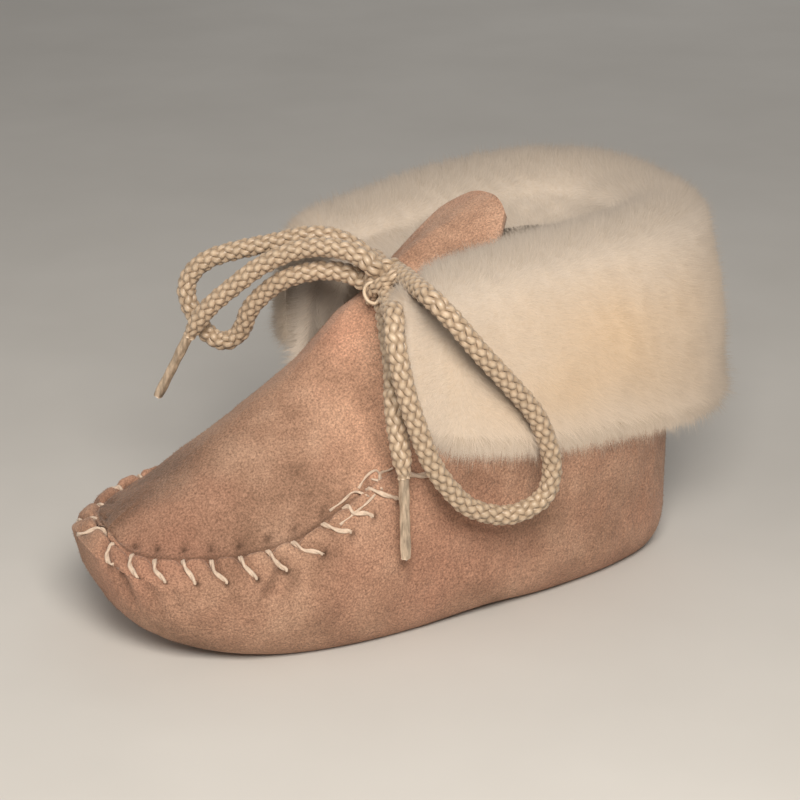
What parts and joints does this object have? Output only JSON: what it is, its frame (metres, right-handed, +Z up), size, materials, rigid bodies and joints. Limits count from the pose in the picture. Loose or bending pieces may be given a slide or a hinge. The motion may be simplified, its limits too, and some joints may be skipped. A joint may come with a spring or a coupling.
{
  "type": "baby bootie",
  "caption": "Soft moccasin-made baby bootie in suede, with a stitched-in plug and tongue, a folded fleece cuff and a braided lace tied in a bow.",
  "frame": {"origin": "on the floor under the middle of the box round the bootie without its bow", "axes": "+X to the toe, +Y to the left of the foot, which is the side the picture shows, +Z up"},
  "size_m": [0.1372, 0.0753, 0.0767],
  "materials": {
    "suede": "napped suede, warm tan",
    "fleece": "dense cream sheepskin pile",
    "lace": "satin braid, light tan",
    "lace_tip": "clear film wrapped tight over the braid"
  },
  "bodies": {
    "root": {"wrap": "suede", "plug": "suede", "cuff": "fleece", "lace_bar_near": "lace", "lace_bar_far": "lace", "lace_knot": "lace", "lace_loop_near": "lace", "lace_loop_far": "lace", "lace_end_near": "lace", "lace_end_far": "lace", "lace_tip_near": "lace_tip", "lace_tip_far": "lace_tip"}
  },
  "joints": []
}
